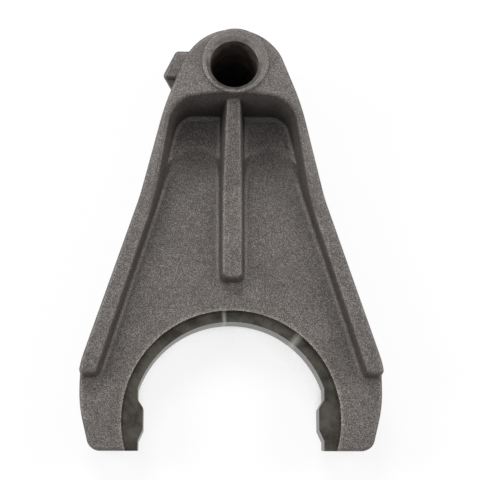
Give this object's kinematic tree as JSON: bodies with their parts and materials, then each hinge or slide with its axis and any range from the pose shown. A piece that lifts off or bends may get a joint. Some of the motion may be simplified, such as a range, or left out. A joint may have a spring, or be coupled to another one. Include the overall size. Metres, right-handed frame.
{
  "type": "transfer case shift fork",
  "caption": "Two-legged shift fork with a rail bore, ribbed web, side lug and a stepped tongue round the fork opening.",
  "frame": {"origin": "axis of the rail bore, at the flat back of the fork", "axes": "+Z along the rail bore from the back to the collar, -Y from the bore towards the tips of the legs, +X to the right with the collar facing the viewer"},
  "size_m": [0.1198, 0.1646, 0.05],
  "materials": {
    "casting": "shot-blasted casting, machined at the bore and tongue"
  },
  "bodies": {
    "root": {"shift_fork": "casting"}
  },
  "joints": []
}
